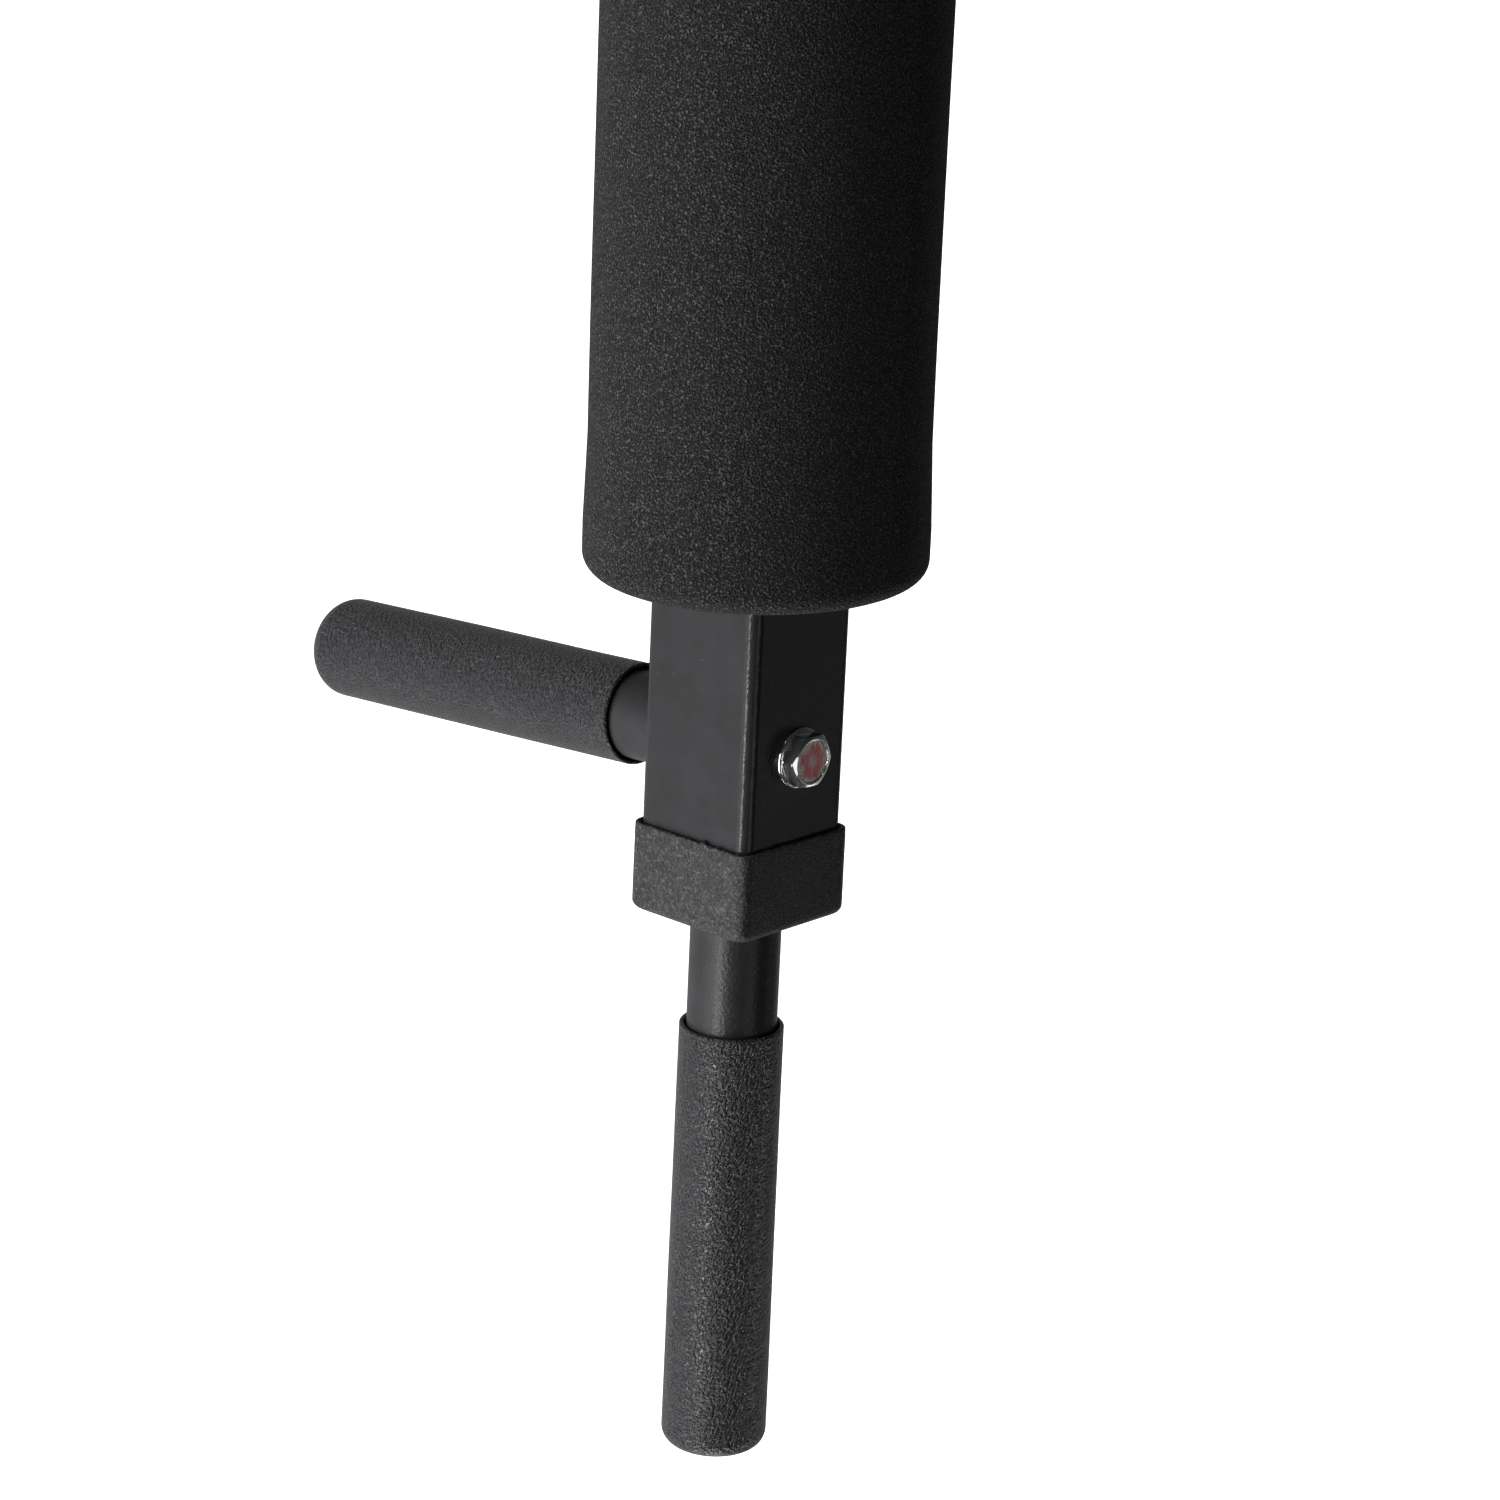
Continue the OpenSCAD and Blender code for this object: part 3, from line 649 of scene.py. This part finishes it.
def flange_bolt(side):
    """Hexagon flange bolt head on the arm's bolt face, with a dished top and red marking paint."""
    angles = [2 * math.pi * k / BOLT_SEGMENTS for k in range(BOLT_SEGMENTS)]

    def hexagon(angle):
        sector = math.radians(60)
        return BOLT_FLAT / math.cos(((angle + BOLT_TURN) % sector) - sector / 2)

    def ring(height, radius, hexed=False, flare=0.0):
        points = []
        for angle in angles:
            out = (min(hexagon(angle), radius) if hexed else radius) + flare
            points.append(Vector((out * math.cos(angle), out * math.sin(angle), height)))
        return points

    rings = [ring(0.0, FLANGE_RADIUS - 0.15 * MM)]
    for out, up in arc((0, 0), FLANGE_EDGE, -20, 75, 12):
        rings.append(ring(0.30 * MM + up, FLANGE_RADIUS - FLANGE_EDGE + out))
    for step in range(6):
        angle = math.radians(90 * step / 5)
        rise, flare = BOLT_FILLET * (1 - math.cos(angle)), BOLT_FILLET * (1 - math.sin(angle))
        rings.append(ring(BOLT_ROOT + rise, BOLT_CORNER, True, 0.5 * flare))
    body_top = HEAD_HEIGHT - (BOLT_CORNER - FACE_RADIUS) * CHAMFER_SLOPE
    for share in (0.35, 0.7, 1.0):
        height = (BOLT_ROOT + BOLT_FILLET) * (1 - share) + body_top * share
        rings.append(ring(height, BOLT_CORNER, True))
    for step in range(1, 17):
        radius = BOLT_CORNER + (FACE_RADIUS - BOLT_CORNER) * step / 16
        rings.append(ring(HEAD_HEIGHT - (radius - FACE_RADIUS) * CHAMFER_SLOPE, radius, True))
    for out, up in arc((0, 0), 0.25 * MM, 60, 130, 4):
        rings.append(ring(HEAD_HEIGHT - 0.25 * MM + up, FACE_RADIUS - 0.25 * MM + out))
    rings.append(ring(HEAD_HEIGHT - 0.7 * DISH_DEPTH, DISH_RADIUS + 0.15 * MM))
    rings.append(ring(HEAD_HEIGHT - DISH_DEPTH, DISH_RADIUS))
    paint_from = len(rings) - 1
    for share in (0.9, 0.8, 0.7, 0.6, 0.5, 0.4, 0.3, 0.2, 0.1, 0.03):
        rough = ring(HEAD_HEIGHT - DISH_DEPTH, DISH_RADIUS * share)
        for p in rough:
            p.z += 0.12 * MM * noise.noise(Vector((p.x * 900, p.y * 420, 5)))
        rings.append(rough)
    piece = ring_mesh("flange_bolt_" + side, rings, close_end=True)
    seat = Matrix.Translation((HALF_TUBE, 0, 0)) @ Matrix.Rotation(math.radians(90), 4, "Y")
    finish_piece(piece, arm_frame(side) @ seat, ZINC, nodes=["side_handle_bolts"])
    piece.data.materials.append(MARKING)
    for polygon in piece.data.polygons:
        if min(polygon.vertices) >= paint_from * BOLT_SEGMENTS:
            polygon.material_index = 1
    piece.data.set_sharp_from_angle(angle=math.radians(38))


# ---------- weld beads ----------

BEAD_RADIUS = 2.4 * MM


def weld_bead(name, loop, cross):
    """A rippled fillet bead along a closed loop of points; cross gives the bead's two cross directions."""
    count = 10
    total, rings = 0.0, []
    for k, point in enumerate(loop):
        total += (point - loop[k - 1]).length if k else 0.0
        ripple = 1 + 0.16 * math.sin(2 * math.pi * total / (2.6 * MM)) + 0.25 * noise.noise(point * 300)
        u, v = cross(point)
        rings.append([
            point + (u * math.cos(2 * math.pi * i / count) + v * math.sin(2 * math.pi * i / count))
            * BEAD_RADIUS * ripple
            for i in range(count)
        ])
    piece = ring_mesh(name, rings, closed_loop=True)
    finish_piece(piece, Matrix.Identity(4), POWDER_ROUND)


def square_loop(centre, normal, half, corner, steps=260):
    """Points round a square tube's outline in the plane through centre across normal (an axis letter)."""
    points = []
    for k in range(steps):
        p = square_point(2 * math.pi * k / steps, half, corner, 0.0)
        a, b = p.x, p.z
        offset = {"X": Vector((0, a, b)), "Y": Vector((a, 0, b))}[normal]
        points.append(centre + offset)
    return points


def bead_at(name, centre, normal, half, corner):
    axis = {"X": Vector((1, 0, 0)), "Y": Vector((0, 1, 0))}[normal]

    def cross(point):
        return (point - centre).normalized(), axis

    weld_bead(name, square_loop(centre, normal, half, corner), cross)


def weld_beads():
    plate_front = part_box("arm_base_plate_left")[0].y
    for side, sign in SIDES.items():
        foot = Vector((sign * ARM_X, plate_front, ARM_Z))
        bead_at("weld_arm_" + side, foot, "Y", HALF_TUBE, TUBE_CORNER)
    for level in ("upper", "lower"):
        low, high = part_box("crossbar_" + level)
        middle = (low + high) / 2
        for side, sign in SIDES.items():
            end = Vector((sign * high.x, middle.y, middle.z))
            bead_at("weld_crossbar_%s_%s" % (level, side), end, "X", HALF_TUBE, TUBE_CORNER)


# ---------- back pad ----------

PAD_START_THICKNESS = 41 * MM
PAD_VOXEL = 5 * MM
PAD_FRAMES = 20
PAD_CAP = 9 * MM
PAD_CORNER = 30 * MM
PAD_EDGE = 10 * MM
PAD_HELD = 6 * MM
PAD_PRESSURE = 4.0
PAD_STIFFNESS = 40.0


def pad_block(low, high):
    """A slightly small, round-cornered block that the cloth then inflates."""
    width, height = high.x - low.x - 6 * MM, high.z - low.z - 6 * MM
    centre = (low + high) / 2
    rings = []
    outline = [(high.y - 0.5 * MM, -4 * MM), (high.y - 3 * MM, 0.0)]
    front = high.y - PAD_START_THICKNESS
    for inset, depth in arc((0, 0), PAD_EDGE, 0, 90, 6):
        outline.append((front + PAD_EDGE - depth, inset - PAD_EDGE))
    for y, grow in outline:
        ring = []
        for k in range(96):
            angle = 2 * math.pi * k / 96
            corner_x = math.copysign(width / 2 - PAD_CORNER, math.cos(angle))
            corner_z = math.copysign(height / 2 - PAD_CORNER, math.sin(angle))
            reach = PAD_CORNER + grow
            ring.append(Vector((
                centre.x + corner_x + reach * math.cos(angle),
                y,
                centre.z + corner_z + reach * math.sin(angle),
            )))
        rings.append(ring)
    return ring_mesh("back_pad", rings, close_start=True, close_end=True)


def apply_modifiers(obj):
    graph = bpy.context.evaluated_depsgraph_get()
    graph.update()
    mesh = bpy.data.meshes.new_from_object(obj.evaluated_get(graph))
    obj.modifiers.clear()
    obj.data = mesh


def inflate(obj, backing_y):
    """Cloth with air pressure inside; the back stays flat on its board."""
    remesh = obj.modifiers.new("remesh", "REMESH")
    remesh.mode = "VOXEL"
    remesh.voxel_size = PAD_VOXEL
    apply_modifiers(obj)
    held = obj.vertex_groups.new(name="held")
    start = [v.co.copy() for v in obj.data.vertices]
    held.add([v.index for v in obj.data.vertices if v.co.y > backing_y - PAD_HELD], 1.0, "ADD")
    cloth = obj.modifiers.new("cloth", "CLOTH")
    settings = cloth.settings
    settings.use_pressure = True
    settings.uniform_pressure_force = PAD_PRESSURE
    settings.effector_weights.gravity = 0.0
    settings.vertex_group_mass = "held"
    settings.tension_stiffness = settings.compression_stiffness = PAD_STIFFNESS
    settings.bending_stiffness = PAD_STIFFNESS
    cloth.point_cache.frame_start = 1
    cloth.point_cache.frame_end = PAD_FRAMES
    for step in range(1, PAD_FRAMES + 1):
        bpy.context.scene.frame_set(step)
    apply_modifiers(obj)
    for vertex, before in zip(obj.data.vertices, start):
        move = vertex.co - before
        if move.length > PAD_CAP:
            vertex.co = before + move.normalized() * PAD_CAP
    bpy.context.scene.frame_set(1)


def smooth_piece(obj, levels):
    modifier = obj.modifiers.new("smooth", "SUBSURF")
    modifier.levels = modifier.render_levels = levels
    apply_modifiers(obj)
    obj.data.polygons.foreach_set("use_smooth", [True] * len(obj.data.polygons))


def back_pad():
    low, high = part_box("pad_cushion")
    pad = pad_block(low, high)
    face_outwards(pad)
    inflate(pad, high.y)
    smooth_piece(pad, 1)
    finish_piece(pad, Matrix.Identity(4), VINYL, nodes=["pad_cushion"])


dress_cad_nodes()
for side in SIDES:
    foam_sleeve(side)
    end_grip(side)
    side_grip(side)
    collar(side)
    flange_bolt(side)
weld_beads()
back_pad()

# ---------- camera ----------

CAMERA_DISTANCE = 1.3906
CAMERA_AZIMUTH = math.radians(25.28)
CAMERA_ELEVATION = math.radians(45.27)
CAMERA_ROLL = math.radians(105.94)
CAMERA_LENS = 121.95
AIM_OFFSET = Vector((1.8, -2.5, -0.5)) * MM


def add_camera():
    towards = Vector((
        math.cos(CAMERA_ELEVATION) * math.cos(CAMERA_AZIMUTH),
        math.cos(CAMERA_ELEVATION) * math.sin(CAMERA_AZIMUTH),
        math.sin(CAMERA_ELEVATION),
    ))
    level_right = Vector((0, 0, 1)).cross(towards).normalized()
    level_up = towards.cross(level_right)
    up = level_up * math.cos(CAMERA_ROLL) + level_right * math.sin(CAMERA_ROLL)
    right = up.cross(towards)
    data = bpy.data.cameras.new("camera")
    data.lens = CAMERA_LENS
    data.sensor_width = 36.0
    data.clip_end = 50.0
    camera = bpy.data.objects.new("camera", data)
    bpy.context.scene.collection.objects.link(camera)
    camera.matrix_world = Matrix((right, up, towards)).transposed().to_4x4()
    camera.location = STATION + AIM_OFFSET + towards * CAMERA_DISTANCE
    bpy.context.scene.camera = camera


# ---------- light and floor ----------

FLOOR_Z = -1.2
FLOOR_HALF = 40
FLOOR_GLOW = 0.93
WORLD_AXIS = (-0.848, -0.297, -0.438)
WORLD_GREYS = ((0.30, 0.012), (0.75, 0.08), (0.95, 0.34))


def add_area(name, location, target, size_x, size_y, power):
    """An area light whose longer side lies along the row's Y axis as nearly as it can."""
    data = bpy.data.lights.new(name, "AREA")
    data.shape = "RECTANGLE"
    data.size, data.size_y, data.energy = size_x, size_y, power
    light = bpy.data.objects.new(name, data)
    bpy.context.scene.collection.objects.link(light)
    back = (Vector(location) - Vector(target)).normalized()
    across = Vector((0, 1, 0)).cross(back).normalized()
    light.matrix_world = Matrix((across, back.cross(across), back)).transposed().to_4x4()
    light.location = location
    light.visible_camera = False
    return light


def add_world():
    """White to the camera; to every other ray a grey that brightens towards WORLD_AXIS."""
    world = bpy.data.worlds.new("studio")
    bpy.context.scene.world = world
    world.use_nodes = True
    tree = world.node_tree
    nodes, links = tree.nodes, tree.links
    nodes.clear()
    output = nodes.new("ShaderNodeOutputWorld")
    seen = nodes.new("ShaderNodeBackground")
    seen.inputs["Color"].default_value = (1, 1, 1, 1)
    around = nodes.new("ShaderNodeBackground")
    rays = nodes.new("ShaderNodeLightPath")
    mix = nodes.new("ShaderNodeMixShader")
    place = nodes.new("ShaderNodeTexCoord")
    along = nodes.new("ShaderNodeVectorMath")
    along.operation = "DOT_PRODUCT"
    along.inputs[1].default_value = WORLD_AXIS
    ramp = nodes.new("ShaderNodeValToRGB")
    elements = ramp.color_ramp.elements
    elements.new(0.5)
    for element, (position, grey) in zip(elements, WORLD_GREYS):
        element.position = position
        element.color = (grey, grey, grey, 1)
    half = nodes.new("ShaderNodeMath")
    half.operation = "MULTIPLY_ADD"
    half.inputs[1].default_value = 0.5
    half.inputs[2].default_value = 0.5
    links.new(place.outputs["Generated"], along.inputs[0])
    links.new(along.outputs["Value"], half.inputs[0])
    links.new(half.outputs[0], ramp.inputs["Fac"])
    links.new(ramp.outputs["Color"], around.inputs["Color"])
    links.new(rays.outputs["Is Camera Ray"], mix.inputs["Fac"])
    links.new(around.outputs[0], mix.inputs[1])
    links.new(seen.outputs[0], mix.inputs[2])
    links.new(mix.outputs[0], output.inputs["Surface"])


def add_floor():
    """A pale plane that the camera sees and that casts no light on the object."""
    corners = ((-1, -1), (1, -1), (1, 1), (-1, 1))
    verts = [(x * FLOOR_HALF, y * FLOOR_HALF, FLOOR_Z) for x, y in corners]
    floor = add_mesh("floor", verts, [(0, 1, 2, 3)], smooth=False)
    m = Nodes("pale_floor")
    m.set(Base_Color=(0.9, 0.9, 0.9, 1), Roughness=0.9)
    m.set(Emission_Color=(1, 1, 1, 1), Emission_Strength=FLOOR_GLOW)
    floor.data.materials.append(m.material)
    floor.visible_diffuse = False
    floor.visible_glossy = False


def add_card(name, direction, distance, size_x, size_y, power):
    """An area light in a direction from the bolt station, turned to face it."""
    return add_area(name, STATION + distance * Vector(direction), STATION, size_x, size_y, power)


def add_lights():
    """side_softbox gives shading only and strip_softbox gives highlights only."""
    add_card("key_softbox", (-0.28, -0.37, 1.21), 1.0, 0.7, 1.8, 5)
    side = add_card("side_softbox", (-0.50, -0.31, 0.81), 1.3, 0.9, 1.8, 42)
    side.visible_glossy = False
    strip = add_card("strip_softbox", (0.10, -0.30, 0.95), 1.3, 0.12, 1.6, 13)
    strip.visible_diffuse = False
    add_area("front_softbox", (-0.5, -3.0, 0.05), (0, 0, 0), 1.6, 0.9, 30)
    add_area("wall_softbox", (0.0, 2.6, 1.2), (0, 0, 0), 1.6, 1.6, 40)
    add_card("low_card", (-0.13, -0.30, -0.945), 1.2, 0.5, 1.0, 0.25)
    add_card("right_card", (0.95, -0.30, 0.03), 1.2, 0.4, 0.8, 1.2)
    add_card("bolt_card", (0.62, -0.32, -0.72), 1.2, 0.36, 0.5, 0.13)
    add_card("tip_card", (0.18, -0.68, -0.71), 1.2, 0.4, 0.4, 0.6)


add_camera()
add_world()
add_lights()
add_floor()
bpy.context.scene.view_settings.view_transform = "Standard"
